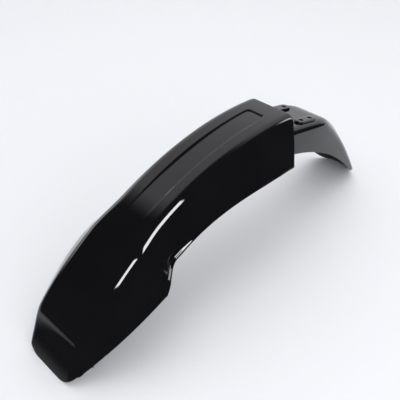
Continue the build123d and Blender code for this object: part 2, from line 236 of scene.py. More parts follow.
@dataclass(frozen=True)
class BladeForm:
    """Sizes of the blade, its skirts, lobes and nose, and of the panel sunk in its top.

    Angles along the blade are measured about its axis, from straight up towards the nose. A reach is
    how far the rounding of a corner goes along its sides.
    """

    wall: float = 3.0

    # Blade: the long arch over the tyre
    axis_x: float = -60.4
    axis_z: float = -317.0
    radius: float = 565.0
    half_width: float = 47.0
    rear_angle: float = -5.1
    rear_lean: float = -11.7
    crease_reach: float = 13.0
    crease_reach_front: float = 7.0
    crease_harden: Band = (25.0, 33.0)

    # Skirts: the sides of the blade, a little steeper below a knee
    knee_depth: float = 52.0
    upper_tilt: float = 19.0
    lower_tilt: float = 15.0
    depth_rear: float = 84.0
    depth_front: float = 62.5
    rise_start: float = 0.0
    rise_end: float = 26.0
    knee_reach: float = 8.0

    # Lip: the foot of the skirt turns out towards the lobe, and its rim turns down
    lip_width: float = 8.0
    lip_least_turn: float = 0.5
    lip_tilt: float = 62.0
    lip_start: float = 18.0
    lip_full: float = 27.0
    lip_fade: float = 28.0
    lip_reach: float = 3.2
    lip_rim_width: float = 2.6
    lip_rim_turn: float = 55.0
    lip_rim_reach: float = 1.1

    # Front lobes: the skirt swings out and up into a wing beside the nose
    lobe_lift_start: float = 24.5
    lobe_swing_start: float = 27.9
    lobe_swing_end: float = 34.2
    lobe_knee_lift_start: float = 22.5
    lobe_knee_swing_start: float = 26.0
    lobe_knee_end: float = 32.2
    lobe_half_width: float = 99.5
    lobe_edge_radius: float = 515.5
    lobe_edge_rise: float = 1.29
    lobe_widest_angle: float = 32.3
    lobe_bulge_share: float = 0.02
    lobe_lip_turn: float = 2.0
    lobe_trim_allowance: float = 10.0
    lobe_trim_tilt: float = 45.0
    lobe_trim_start: float = 33.2
    lobe_trim_full: float = 35.2

    # Nose: the flat face that turns down to the front edge
    nose_slope: float = 68.0
    nose_break_angle: float = 47.0
    nose_break_softness: float = 1.8
    nose_half_width: float = 50.0
    nose_edge_half_width: float = 46.2
    nose_widen_start: float = 24.0
    nose_corner_radius: float = 34.0
    nose_corner_slack: float = 0.01
    nose_trim_angle: float = 45.0

    # Sunken panel along the blade's top, which fades out towards the front
    panel_half_width: float = 20.0
    panel_depth: float = 2.6
    panel_fade_depth: float = 0.0
    panel_fade_start: float = 0.45
    panel_rear_angle: float = -1.4
    panel_front_angle: float = 28.5
    panel_corner_radius: float = 9.0
    panel_wall_run: float = 4.0

    @property
    def nose_face(self) -> float:
        """Distance of the flat nose from the blade's axis."""
        return self.radius * cos_deg(self.nose_slope - self.nose_break_angle)

    @property
    def nose_front(self) -> float:
        """Where the nose meets the floor, forward in the plane of the lobes' outline."""
        reach = (self.nose_face + self.axis_z * cos_deg(self.nose_slope)) / sin_deg(self.nose_slope)
        return reach * cos_deg(self.nose_trim_angle) + self.axis_z * sin_deg(self.nose_trim_angle)

    @property
    def lobe_rear(self) -> float:
        """Where the lobes' outline is widest, forward in its plane."""
        return self.along_trim(self.lobe_widest_angle, self.radius)

    @property
    def lobe_outline_radius(self) -> float:
        """Work out the arc of the lobes' outline.

        Returns:
            The radius of the arc from the outline's widest place to the nose's front edge.
        """
        run = self.nose_front - self.lobe_rear
        narrowing = self.lobe_half_width - self.nose_edge_half_width
        return (run**2 + narrowing**2) / (2 * narrowing)

    @property
    def rear_top(self) -> Point:
        """X and Z of the rear end of the blade's top."""
        return (
            self.axis_x + self.radius * sin_deg(self.rear_angle),
            self.axis_z + self.radius * cos_deg(self.rear_angle),
        )

    def crest(self, angle: float) -> float:
        """Distance of the blade's top from its axis."""
        nose = self.nose_face / cos_deg(self.nose_slope - angle)
        return soft_least(self.radius, nose, self.nose_break_softness)

    def crease_rounding(self, angle: float) -> float:
        """How far the rounding of the blade's crease reaches, which is softer above the skirts."""
        return mix(self.crease_reach, self.crease_reach_front, ramp(angle, *self.crease_harden))

    def skirt_half_width(self, depth: float) -> float:
        """Work out how wide the rear skirts are.

        Args:
            depth: Distance below the blade's top.

        Returns:
            Half the width there.
        """
        upper = min(depth, self.knee_depth) * math.tan(math.radians(self.upper_tilt))
        lower = max(depth - self.knee_depth, 0) * math.tan(math.radians(self.lower_tilt))
        return self.half_width + upper + lower

    def along_trim(self, angle: float, radius: float) -> float:
        """Distance forward in the plane that the lobes' outline is drawn on."""
        return radius * sin_deg(angle - self.nose_trim_angle)

    def outline_half(self, angle: float, radius: float) -> float:
        """Work out how wide the lobes' outline is.

        Args:
            angle: Angle of a place on the outline.
            radius: Its distance from the blade's axis.

        Returns:
            Half the width there.
        """
        arc = self.lobe_outline_radius
        along = max(self.along_trim(angle, radius) - self.lobe_rear, 0)
        return self.lobe_half_width - arc + math.sqrt(arc**2 - along**2)

    def past_nose(self, angle: float, point: Point) -> bool:
        """Test a point of a section against the front of the blade.

        Args:
            angle: The section's angle.
            point: The point, across and out from the axis.

        Returns:
            Whether it is past the nose's front edge or its rounded corner.
        """
        arc = self.lobe_outline_radius
        inner_radius = arc - self.nose_corner_radius
        corner_along = self.nose_front - self.nose_corner_radius
        reach = corner_along - self.lobe_rear
        corner_half = self.lobe_half_width - arc + math.sqrt(inner_radius**2 - reach**2)
        ahead = self.along_trim(angle, point[1]) - corner_along
        out = abs(point[0]) - corner_half
        gap = math.hypot(ahead, out)
        if out > 0 and ahead > 0 and ahead >= gap * reach / inner_radius:
            return gap > self.nose_corner_radius + self.nose_corner_slack
        return self.axis_z + point[1] * cos_deg(angle) < 0

    def skirt_edge(self, angle: float) -> Point:
        """Lower edge of the skirt by itself, which rises towards the lobes."""
        depth = mix(self.depth_rear, self.depth_front, ramp(angle, self.rise_start, self.rise_end))
        return (self.skirt_half_width(depth), self.radius - depth)

    def lobe_edge(self, angle: float, crease: Point) -> Point:
        """Work out the edge of the lobe by itself.

        Args:
            angle: The section's angle.
            crease: The crease that the lobe starts from.

        Returns:
            The edge, with an allowance past the outline that it is cut back to.
        """
        rise = self.lobe_edge_rise * (angle - self.lobe_swing_end)
        radius = min(self.lobe_edge_radius + rise, crease[1])
        edge = (max(self.outline_half(angle, radius), crease[0]), radius)
        allowance = self.lobe_trim_allowance * ramp(angle, self.lobe_trim_start, self.lobe_trim_full)
        return step_from(edge, self.lobe_trim_tilt, allowance)

    def lobe_knee(self, crease: Point, edge: Point) -> Point:
        """Knee of the lobe by itself, which bulges a little from the middle between crease and edge."""
        run, fall = edge[0] - crease[0], crease[1] - edge[1]
        return (
            crease[0] + run / 2 + self.lobe_bulge_share * fall,
            crease[1] - fall / 2 + self.lobe_bulge_share * run,
        )

    def corners(self, angle: float) -> List[Point]:
        """Work out the corners of the blade's half section.

        Args:
            angle: The section's angle.

        Returns:
            Crease, knee, lip root, rim and edge.
        """
        widen = ramp(angle, self.nose_widen_start, self.nose_break_angle)
        crease = (mix(self.half_width, self.nose_half_width, widen), self.crest(angle))
        skirt_edge = self.skirt_edge(angle)
        lobe_edge = self.lobe_edge(angle, crease)
        lobe_knee = self.lobe_knee(crease, lobe_edge)

        # The skirt swings out and up into the lobe, its knee a little before its edge
        out = ramp(angle, self.lobe_swing_start, self.lobe_swing_end)
        up = ramp(angle, self.lobe_lift_start, self.lobe_swing_end)
        edge = (mix(skirt_edge[0], lobe_edge[0], out), mix(skirt_edge[1], lobe_edge[1], up))
        knee_out = ramp(angle, self.lobe_knee_swing_start, self.lobe_knee_end)
        knee_up = ramp(angle, self.lobe_knee_lift_start, self.lobe_knee_end)
        knee = (
            mix(self.skirt_half_width(self.knee_depth), lobe_knee[0], knee_out),
            mix(self.radius - self.knee_depth, lobe_knee[1], knee_up),
        )

        # The lip turns out from the foot of the skirt, with its rim turned down, and fades into the lobe
        foot_tilt = math.degrees(math.atan2(edge[0] - knee[0], knee[1] - edge[1]))
        turned = ramp(angle, self.lip_start, self.lip_full)
        faded = ramp(angle, self.lip_fade, self.lobe_swing_end)
        lip_tilt = mix(foot_tilt + self.lip_least_turn, self.lip_tilt, turned)
        lip_tilt = mix(lip_tilt, foot_tilt + self.lobe_lip_turn, faded)
        lip_width = min(self.lip_width, ROUND_SHARE * math.hypot(edge[0] - knee[0], edge[1] - knee[1]))
        rim_width = lip_width * self.lip_rim_width / self.lip_width
        rim_tilt = lip_tilt - self.lip_rim_turn * turned * (1 - faded)
        rim = step_from(edge, rim_tilt, -rim_width)
        return [crease, knee, step_from(rim, lip_tilt, rim_width - lip_width), rim, edge]

    def panel_drop(self, angle: float, across: float) -> float:
        """Work out how far the sunken panel lies below the blade's top.

        Args:
            angle: Angle of a place on the top.
            across: Its distance from the middle.

        Returns:
            The depth there, 0 outside the panel.
        """
        share = (angle - self.panel_rear_angle) / (self.panel_front_angle - self.panel_rear_angle)
        if share >= 1:
            return 0.0
        depth = mix(self.panel_depth, self.panel_fade_depth, ramp(share, self.panel_fade_start, 1))
        behind = self.panel_corner_radius - math.radians(angle - self.panel_rear_angle) * self.radius
        beside = abs(across) - (self.panel_half_width - self.panel_corner_radius)
        outward = math.hypot(max(behind, 0), max(beside, 0)) + min(max(behind, beside), 0)
        return depth * (1 - ramp(outward - self.panel_corner_radius, -self.panel_wall_run, 0))


@dataclass(frozen=True)
class TailForm:
    """Sizes of the bolting plate behind the step and of the flap that bends down from it.

    Angles along the tail are measured about its own axis, from straight up towards the nose.
    """

    blade: BladeForm

    # Bolting plate at the foot of the step
    step_drop: float = 34.2
    plate_slope: float = 12.9
    plate_length: float = 111.0
    plate_crown: float = 5.5
    plate_shoulder_half: float = 40.0
    plate_draft: float = 4.8

    # Flap, and the bend between it and the plate
    bend_softness: float = 5.0
    flap_slope: float = 40.4
    flap_radius: float = 544.0
    flap_crown: float = 19.0
    flap_shoulder_half: float = 20.0
    flap_draft: float = 10.0
    flap_least_wall: float = 7.0
    flap_corner_radius: float = 32.0
    flap_form_start: float = -23.0
    flap_form_end: float = -38.0

    # Rounding of shoulder and crease, and the lower edge, an arc about the tail's axis
    reach: float = 9.0
    axis_x: float = 21.6
    axis_z: float = -286.0
    edge_radius: float = 474.5
    edge_half: float = 52.6
    front_angle: float = -13.0
    end_angle: float = -60.0

    # Bolt pads on the plate
    pad_length: float = 54.0
    pad_width: float = 18.0
    pad_rise: float = 3.5
    pad_spacing: float = 58.0
    pad_setback: float = 65.0
    bolt_spacing: float = 26.0
    bolt_hole_radius: float = 4.25

    @property
    def plate_run(self) -> Vector:
        """Direction down the plate, rearwards."""
        return Vector((-cos_deg(self.plate_slope), 0, -sin_deg(self.plate_slope)))

    @property
    def plate_up(self) -> Vector:
        """Direction square to the plate, upwards."""
        return Vector((-sin_deg(self.plate_slope), 0, cos_deg(self.plate_slope)))

    @property
    def plate_start(self) -> Vector:
        """Front end of the plate's crease, at the foot of the step."""
        x, z = self.blade.rear_top
        return Vector((x, 0, z - self.step_drop))

    @property
    def plate_face(self) -> float:
        """Distance of the plate from the tail's axis."""
        return (self.plate_start - Vector((self.axis_x, 0, self.axis_z))).dot(self.plate_up)

    @property
    def pad_middle(self) -> Vector:
        """The place between the bolt pads, on the plate's flat."""
        return self.plate_start + self.pad_setback * self.plate_run + self.plate_crown * self.plate_up

    @property
    def flap_centre(self) -> Point:
        """Centre of the flap's arc, from the tail's axis."""
        corner = self.plate_start + self.plate_length * self.plate_run
        return (
            corner.x + self.flap_radius * sin_deg(self.flap_slope) - self.axis_x,
            corner.z - self.flap_radius * cos_deg(self.flap_slope) - self.axis_z,
        )

    def crest(self, angle: float) -> float:
        """Work out how far the plate's or flap's crease lies from the tail's axis.

        Args:
            angle: The section's angle.

        Returns:
            The distance, with the bend between plate and flap eased.
        """
        plate = self.plate_face / cos_deg(angle + self.plate_slope)
        centre = self.flap_centre
        reach = centre[0] * sin_deg(angle) + centre[1] * cos_deg(angle)
        flap = reach + math.sqrt(reach**2 + self.flap_radius**2 - centre[0] ** 2 - centre[1] ** 2)
        return soft_least(plate, flap, self.bend_softness)

    def corners(self, angle: float) -> List[Point]:
        """Work out the corners of the tail's half section.

        Args:
            angle: The section's angle.

        Returns:
            Shoulder, crease and lower edge.
        """
        form = ramp(-angle, -self.flap_form_start, -self.flap_form_end)
        crest = self.crest(angle)
        draft = mix(self.plate_draft, self.flap_draft, form)
        height = max(crest - self.edge_radius, self.flap_least_wall)
        crease_half = self.edge_half - height * math.tan(math.radians(draft))
        shoulder_half = mix(self.plate_shoulder_half, self.flap_shoulder_half, form)
        shoulder = (shoulder_half, crest + mix(self.plate_crown, self.flap_crown, form))
        return [shoulder, (crease_half, crest), (self.edge_half, crest - height)]

    def past_step(self, angle: float, point: Point) -> bool:
        """Test a point of a section against the bulkhead that closes the step.

        Args:
            angle: The section's angle.
            point: The point, across and out from the axis.

        Returns:
            Whether it is ahead of the bulkhead.
        """
        x, z = self.blade.rear_top
        ahead = (self.axis_x + point[1] * sin_deg(angle) - x) * cos_deg(self.blade.rear_lean)
        above = (self.axis_z + point[1] * cos_deg(angle) - z) * sin_deg(self.blade.rear_lean)
        return ahead - above > self.blade.wall

    def past_flap(self, angle: float, point: Point) -> bool:
        """Test a point of a section against the flap's end, which is cut level with round corners.

        Args:
            angle: The section's angle.
            point: The point, across and out from the axis.

        Returns:
            Whether it is past the end.
        """
        height = self.axis_z + point[1] * cos_deg(angle)
        out = abs(point[0]) - (self.edge_half - self.flap_corner_radius)
        if out <= 0:
            return height < 0
        rest = max(self.flap_corner_radius**2 - out**2, 0)
        return height < self.flap_corner_radius - math.sqrt(rest)


class Hand:
    """The modelling moves that the pieces share."""

    RIM_SEGMENTS: int = 3

    @staticmethod
    def clear() -> None:
        """Deselect everything."""
        bpy.ops.object.select_all(action="DESELECT")

    @staticmethod
    def only(piece: bpy.types.Object) -> None:
        """Select one piece alone and make it active.

        Args:
            piece: The piece to work on.
        """
        Hand.clear()
        piece.select_set(True)
        bpy.context.view_layer.objects.active = piece

    @staticmethod
    def dress(piece: bpy.types.Object, finishes: Sequence[bpy.types.Material]) -> None:
        """Give a piece its finishes, in the order of its material slots."""
        for finish in finishes:
            piece.data.materials.append(finish)

    @staticmethod
    def apply(piece: bpy.types.Object, kind: str, **settings: Any) -> None:
        """Add a modifier with its settings and apply it.

        Args:
            piece: The piece to change.
            kind: The modifier's type.
            settings: Its properties.
        """
        modifier = piece.modifiers.new(kind.title(), kind)
        for name, value in settings.items():
            setattr(modifier, name, value)
        Hand.only(piece)
        bpy.ops.object.modifier_apply(modifier=modifier.name)

    @staticmethod
    def round_rims(piece: bpy.types.Object, width: float, angle: float) -> None:
        """Round the sharp edges of a piece.

        Args:
            piece: The piece to change.
            width: Width of the rounding, in millimetres.
            angle: Turn above which an edge counts as sharp.
        """
        Hand.apply(
            piece,
            "BEVEL",
            width=width * MM,
            segments=Hand.RIM_SEGMENTS,
            limit_method="ANGLE",
            angle_limit=math.radians(angle),
        )

    @staticmethod
    def bevel_edges(piece: bpy.types.Object, chosen: EdgeTest, offset: float, segments: int) -> None:
        """Round some edges of a piece.

        Args:
            piece: The piece to change.
            chosen: Whether an edge is rounded, from its two ends.
            offset: How far the rounding reaches, in metres.
            segments: Faces across each rounding.
        """
        Hand.only(piece)
        bpy.ops.object.mode_set(mode="EDIT")
        bpy.ops.mesh.select_mode(type="EDGE")
        bpy.ops.mesh.select_all(action="DESELECT")
        bpy.ops.object.mode_set(mode="OBJECT")
        for edge in piece.data.edges:
            start, end = (piece.data.vertices[index].co for index in edge.vertices)
            edge.select = chosen(start, end)
        bpy.ops.object.mode_set(mode="EDIT")
        bpy.ops.mesh.bevel(offset=offset, segments=segments)
        bpy.ops.object.mode_set(mode="OBJECT")

    @staticmethod
    def level(piece: bpy.types.Object) -> None:
        """Flatten what reaches below the floor."""
        for vertex in piece.data.vertices:
            vertex.co.z = max(vertex.co.z, 0.0)

    @staticmethod
    def sheet(name: str, rows: Sequence[Sequence[Vector]]) -> bpy.types.Object:
        """A grid primitive laid over rows of points, facing outwards.

        Args:
            name: The new piece's name.
            rows: Rows of as many points each, in metres.

        Returns:
            The sheet.
        """
        Hand.clear()
        across = len(rows[0])
        bpy.ops.mesh.primitive_grid_add(x_subdivisions=across - 1, y_subdivisions=len(rows) - 1, size=1)
        piece = bpy.context.object
        piece.name = name
        piece.data.name = name
        flat = [number for row in rows for point in row for number in point]
        piece.data.vertices.foreach_set("co", flat)
        piece.data.update()
        return piece

    @staticmethod
    def join(pieces: Sequence[bpy.types.Object], name: str) -> bpy.types.Object:
        """Join pieces into one.

        Args:
            pieces: The pieces, of which the first takes the others in.
            name: The joined piece's name.

        Returns:
            The joined piece.
        """
        Hand.clear()
        for piece in pieces:
            piece.select_set(True)
        bpy.context.view_layer.objects.active = pieces[0]
        bpy.ops.object.join()
        pieces[0].name = name
        pieces[0].data.name = name
        return pieces[0]


@dataclass
class Blade:
    """The blade's sheet: its section carried along the arch from the step to the nose.

    A bend is given as the points on a corner's rounding and on the leg after it. A crowd is a place
    where stations lie closer together, given as its offset and its width in degrees and its weight.
    """

    form: BladeForm
    station_count: int = 205
    lead_counts: Tuple[int, int, int] = (4, 16, 6)
    crease_bend: Tuple[int, int] = (10, 9)
    knee_bend: Tuple[int, int] = (8, 10)
    lip_bend: Tuple[int, int] = (6, 5)
    rim_bend: Tuple[int, int] = (4, 3)
    panel_band: Band = (0.26, 0.63)
    panel_crowd: Tuple[float, float, float] = (0.5, 1.2, 3.0)
    flare_crowd: Tuple[float, float, float] = (-4.0, 5.0, 1.2)
    crowd_end: float = 57.0
    crowd_steps: int = 4000
    lean_rounds: int = 6
    nose_margin: float = 8.0
    corner_round: float = 12.0

    def lead(self) -> List[float]:
        """Share out the points across the flat top.

        Returns:
            Shares of the way from its middle, closest together at the panel's wall.
        """
        low, high = self.panel_band
        inner, wall, outer = self.lead_counts
        return [0.0] + spread(0, low, inner) + spread(low, high, wall) + spread(high, 1, outer)

    def section(self, angle: float) -> List[Point]:
        """Work out the half section, cut back to the lobes' outline.

        Args:
            angle: The section's angle.

        Returns:
            Its points, middle first.
        """
        form = self.form
        bends = [
            Bend(form.crease_rounding(angle), *self.crease_bend),
            Bend(form.knee_reach, *self.knee_bend),
            Bend(form.lip_reach, *self.lip_bend),
            Bend(form.lip_rim_reach, *self.rim_bend),
        ]
        lead = self.lead()
        points = rounded_path(form.corners(angle), bends, lead)
        keep = len(lead) + sum(self.crease_bend) + self.knee_bend[0] - 1
        return shortened(points, keep, lambda point: point[0] > form.outline_half(angle, point[1]))

    def reach(self, column: int) -> Tuple[float, float]:
        """First and last angle of a column of points.

        Args:
            column: Index of the point in the half section.

        Returns:
            The angle at the rear end, and the angle at the nose.
        """
        form = self.form
        first = form.rear_angle
        for _ in range(self.lean_rounds):
            radius = self.section(first)[column][1]
            lean = form.radius * sin_deg(form.rear_angle - form.rear_lean) / radius
            first = form.rear_lean + math.degrees(math.asin(lean))
        low, high = form.nose_trim_angle, form.nose_slope - self.nose_margin
        last = solve(lambda angle: form.past_nose(angle, self.section(angle)[column]), low, high)
        return first, last

    def weight(self, angle: float) -> float:
        """Work out how closely the stations lie.

        Args:
            angle: Angle of a place along the blade.

        Returns:
            1 where they are widest apart, and more at the panel's end and at the flare.
        """
        weight = 1.0
        places = (self.form.panel_rear_angle, self.form.lobe_swing_end)
        for place, (offset, width, extra) in zip(places, (self.panel_crowd, self.flare_crowd)):
            weight += extra * math.exp(-(((angle - place - offset) / width) ** 2))
        return weight

    def shares(self) -> List[float]:
        """Share out the stations along the blade.

        Returns:
            Shares of the way forward, by the weights of the places between.
        """
        steps = self.crowd_steps
        sums = [0.0]
        for index in range(steps):
            angle = mix(self.form.rear_angle, self.crowd_end, (index + 0.5) / steps)
            sums.append(sums[-1] + self.weight(angle))
        shares, index = [], 0
        for station in range(self.station_count + 1):
            target = sums[-1] * station / self.station_count
            while index < steps and sums[index] < target - TINY:
                index += 1
            shares.append(index / steps)
        return shares

    def place(self, angle: float, column: int) -> Vector:
        """Where a point of the half section lies, in millimetres.

        Args:
            angle: The section's angle.
            column: Index of the point in the half section.

        Returns:
            The point, on the side of +Y.
        """
        form = self.form
        across, radius = self.section(angle)[column]
        radius -= form.panel_drop(angle, across) if column < len(self.lead()) else 0.0
        x, z = form.axis_x + radius * sin_deg(angle), form.axis_z + radius * cos_deg(angle)
        return Vector((x, across, z))

    def rounded_reaches(self) -> List[Tuple[float, float]]:
        """Round off the lower corners beside the nose.

        Returns:
            First and last angle of every column.
        """
        reaches = [self.reach(column) for column in range(len(self.section(0.0)))]
        ends = [self.place(last, column) for column, (_, last) in enumerate(reaches)]
        rounded = []
        for (first, last), end in zip(reaches, ends):
            short = max(self.corner_round - (end - ends[-1]).length, 0.0)
            setback = self.corner_round - math.sqrt(self.corner_round**2 - short**2)
            rounded.append((first, last - math.degrees(setback / self.form.radius)))
        return rounded

    def build(self) -> bpy.types.Object:
        """Lay the sheet from the step to the nose.

        Returns:
            The sheet, without a wall.
        """
        reaches = self.rounded_reaches()
        rows = []
        for share in self.shares():
            left = [self.place(mix(*reach, share), column) * MM for column, reach in enumerate(reaches)]
            rows.append(both_halves(left))
        return Hand.sheet("blade", rows)


@dataclass
class Tail:
    """The tail's sheet: its section carried along the plate, the bend and the flap.

    A bend is given as the points on a corner's rounding and on the leg after it.
    """

    form: TailForm
    station_count: int = 92
    shoulder_bend: Tuple[int, int] = (8, 5)
    crease_bend: Tuple[int, int] = (8, 8)
    lead_count: int = 8

    def section(self, angle: float) -> List[Point]:
        """Work out the half section.

        Args:
            angle: The section's angle.

        Returns:
            Its points, middle first.
        """
        reach = self.form.reach
        bends = [Bend(reach, *self.shoulder_bend), Bend(reach, *self.crease_bend)]
        lead = [0.0] + spread(0, 1, self.lead_count)
        return rounded_path(self.form.corners(angle), bends, lead)

    def reach(self, column: int) -> Tuple[float, float]:
        """First and last angle of a column of points.

        Args:
            column: Index of the point in the half section.

        Returns:
            The angle at the step, and the angle at the flap's end.
        """
        form = self.form

        def ahead(angle: float) -> bool:
            """Whether the point is ahead of the bulkhead at an angle."""
            return form.past_step(angle, self.section(angle)[column])

        def behind(angle: float) -> bool:
            """Whether the point is past the flap's end at an angle."""
            return form.past_flap(angle, self.section(angle)[column])

        first = solve(ahead, form.flap_form_start, form.front_angle)
        return first, solve(behind, form.flap_form_end, form.end_angle)

    def place(self, angle: float, column: int) -> Vector:
        """Where a point of the half section lies, in millimetres.

        Args:
            angle: The section's angle.
            column: Index of the point in the half section.

        Returns:
            The point, on the side of +Y.
        """
        form = self.form
        across, radius = self.section(angle)[column]
        x, z = form.axis_x + radius * sin_deg(angle), form.axis_z + radius * cos_deg(angle)
        return Vector((x, across, z))

    def build(self) -> bpy.types.Object:
        """Lay the sheet from the step to the flap's end.

        Returns:
            The sheet, without a wall.
        """
        reaches = [self.reach(column) for column in range(len(self.section(self.form.front_angle)))]
        rows = []
        for share in [0.0] + spread(0, 1, self.station_count):
            left = [self.place(mix(*reach, share), column) * MM for column, reach in enumerate(reaches)]
            rows.append(both_halves(left)[::-1])
        return Hand.sheet("tail", rows)


class Signal:
    """A shader socket that can be used in Python expressions."""

    def __init__(self, graph: "Graph", socket: bpy.types.NodeSocket) -> None:
        """Wrap a socket of a graph."""
        self.graph = graph
        self.socket = socket

    def _math(self, operation: str, first: Any, second: Any) -> "Signal":
        """A Math node on two values."""
        return self.graph.node("ShaderNodeMath", {"operation": operation}, {0: first, 1: second})

    def __add__(self, other: Any) -> "Signal":
        """This plus another."""
        return self._math("ADD", self, other)

    __radd__ = __add__

    def __mul__(self, other: Any) -> "Signal":
        """This times another."""
        return self._math("MULTIPLY", self, other)

    __rmul__ = __mul__

    def __sub__(self, other: Any) -> "Signal":
        """This less another."""
        return self._math("SUBTRACT", self, other)

    def __rsub__(self, other: Any) -> "Signal":
        """Another less this."""
        return self._math("SUBTRACT", other, self)

    def eased(self, low: float, high: float) -> "Signal":
        """Ease from 0 where this is low to 1 where it is high."""
        return self.graph.node(
            "ShaderNodeMapRange",
            {"interpolation_type": "SMOOTHSTEP"},
            {"Value": self, "From Min": low, "From Max": high},
        )


class Graph:
    """The nodes of one material or of the world."""

    def __init__(self, tree: bpy.types.NodeTree) -> None:
        """Start with an empty tree."""
        self.tree = tree
        tree.nodes.clear()

    def put(self, socket: bpy.types.NodeSocket, value: Any) -> None:
        """Link a signal to a socket, or set its value.

        Args:
            socket: The input to fill.
            value: The signal or the value.
        """
        if isinstance(value, Signal):
            self.tree.links.new(value.socket, socket)
        else:
            socket.default_value = value

    def node(
        self,
        kind: str,
        settings: Optional[Mapping[str, Any]] = None,
        inputs: Optional[Mapping[Union[str, int], Any]] = None,
        output: Union[str, int] = 0,
    ) -> Optional[Signal]:
        """Add a node.

        Args:
            kind: The node's type.
            settings: Its properties, which are set first.
            inputs: Values or signals for its sockets, by name or index.
            output: The output that is wanted.

        Returns:
            That output, or nothing where the node has none.
        """
        made = self.tree.nodes.new(kind)
        for name, value in (settings or {}).items():
            setattr(made, name, value)
        for key, value in (inputs or {}).items():
            self.put(made.inputs[key], value)
        return Signal(self, made.outputs[output]) if made.outputs else None

    def dot(self, first: Any, second: Any) -> Signal:
        """How far one vector reaches along another."""
        settings = {"operation": "DOT_PRODUCT"}
        return self.node("ShaderNodeVectorMath", settings, {0: first, 1: second}, "Value")

    def parts(self, vector: Signal, axes: str) -> List[Signal]:
        """How far a vector reaches along each of some axes."""
        return [self.node("ShaderNodeSeparateXYZ", {}, {0: vector}, axis) for axis in axes]

    def mixed(self, factor: Any, first: Any, second: Any) -> Signal:
        """A colour between two others, by the sockets that a Mix node keeps for colours."""
        return self.node("ShaderNodeMix", {"data_type": "RGBA"}, {0: factor, 6: first, 7: second}, 2)

    def noise(self, place: Signal, scale: float, detail: float) -> Signal:
        """A cloudy pattern over a surface."""
        return self.node("ShaderNodeTexNoise", {}, {"Vector": place, "Scale": scale, "Detail": detail})


@dataclass(frozen=True)
class MouldedPlastic:
    """A black moulded plastic: gloss where the mould was polished, satin inside.

    Haze and smudges make it a little rougher in places, and a fine peel stirs its surface.
    """

    name: str
    colour: Colour
    haze_colour: Colour
    roughness: float
    roughness_spread: float
    peel_height: float
    peel_scale: float
    peel_detail: float = 2.0
    haze_scale: float = 9.0
    haze_detail: float = 4.0
    haze_band: Band = (0.35, 0.7)
    haze_share: float = 0.6
    smudge_scale: float = 60.0
    smudge_detail: float = 6.0
    smudge_band: Band = (0.4, 0.75)
    refraction: float = 1.5

    def material(self) -> bpy.types.Material:
        """Build the finish.

        Returns:
            The finish as a material.
        """
        made = bpy.data.materials.new(self.name)
        made.use_nodes = True
        graph = Graph(made.node_tree)
        place = graph.node("ShaderNodeTexCoord", output="Object")
        haze = graph.noise(place, self.haze_scale, self.haze_detail).eased(*self.haze_band)
        smudge = graph.noise(place, self.smudge_scale, self.smudge_detail).eased(*self.smudge_band)
        uneven = haze * self.haze_share + smudge * (1 - self.haze_share)
        peel = graph.noise(place, self.peel_scale, self.peel_detail)
        relief = {"Height": peel, "Strength": 1.0, "Distance": self.peel_height}
        shader = graph.node(
            "ShaderNodeBsdfPrincipled",
            {},
            {
                "Base Color": graph.mixed(haze, self.colour, self.haze_colour),
                "Roughness": self.roughness + self.roughness_spread * uneven,
                "IOR": self.refraction,
                "Normal": graph.node("ShaderNodeBump", {}, relief),
            },
        )
        graph.node("ShaderNodeOutputMaterial", {}, {"Surface": shader})
        return made


class Face(Enum):
    """The two sides of the moulding, by the material slot that holds each one's finish."""

    OUTSIDE = 0
    INSIDE = 1


FINISHES = {
    Face.OUTSIDE: MouldedPlastic(
        name="gloss_black_outside",
        colour=(0.0042, 0.0042, 0.0048, 1.0),
        haze_colour=(0.0058, 0.0058, 0.0065, 1.0),
        roughness=0.03,
        roughness_spread=0.035,
        peel_height=0.000004,
        peel_scale=260.0,
    ),
    Face.INSIDE: MouldedPlastic(
        name="satin_black_inside",
        colour=(0.012, 0.012, 0.013, 1.0),
        haze_colour=(0.017, 0.017, 0.018, 1.0),
        roughness=0.22,
        roughness_spread=0.10,
        peel_height=0.00001,
        peel_scale=420.0,
    ),
}


